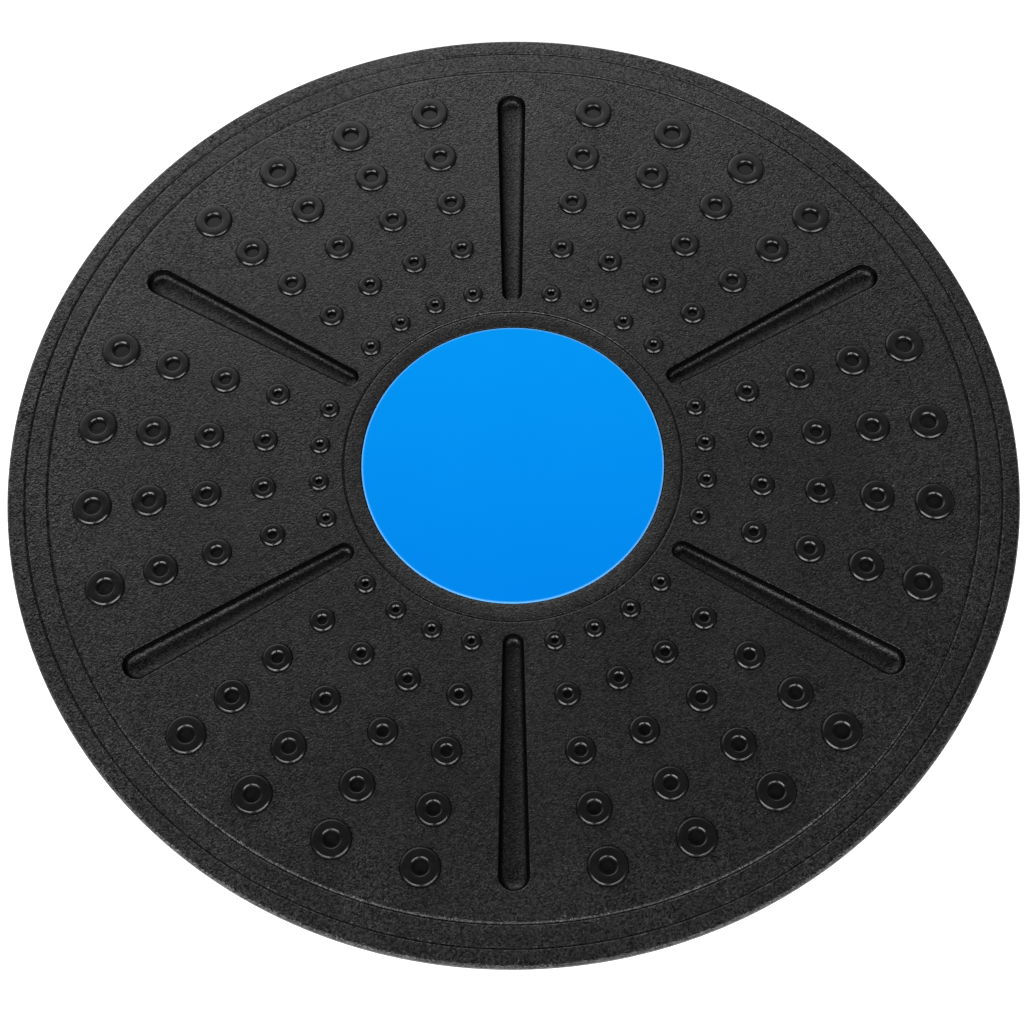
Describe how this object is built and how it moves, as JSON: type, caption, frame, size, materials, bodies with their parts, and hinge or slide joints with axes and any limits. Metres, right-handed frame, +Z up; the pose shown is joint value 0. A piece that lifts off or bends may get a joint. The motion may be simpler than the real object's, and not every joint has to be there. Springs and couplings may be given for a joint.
{
  "type": "wobble board",
  "caption": "Rigid round balance board: a studded, grooved deck on a hollow dome with a non-slip pad, so it rocks and spins under the feet.",
  "frame": {"origin": "centre of the foot pad's flat underside, on the floor", "axes": "+Z up along the board's axis, square to the deck; +Y along one of the six radial grooves"},
  "size_m": [0.36, 0.36, 0.0746],
  "materials": {
    "deck_plastic": "black moulded plastic, fine spark-grained satin deck with smooth semi-gloss studs",
    "disc_plastic": "smooth bright blue",
    "dome_plastic": "black moulded plastic, fine satin",
    "pad_rubber": "matt dark grey thermoplastic rubber",
    "screw_steel": "zinc plated"
  },
  "bodies": {
    "root": {"deck": "deck_plastic", "centre_disc": "disc_plastic", "dome_base": "dome_plastic", "foot_pad": "pad_rubber", "dome_screw_1": "screw_steel", "dome_screw_2": "screw_steel", "dome_screw_3": "screw_steel", "dome_screw_4": "screw_steel", "dome_screw_5": "screw_steel", "dome_screw_6": "screw_steel"}
  },
  "joints": []
}
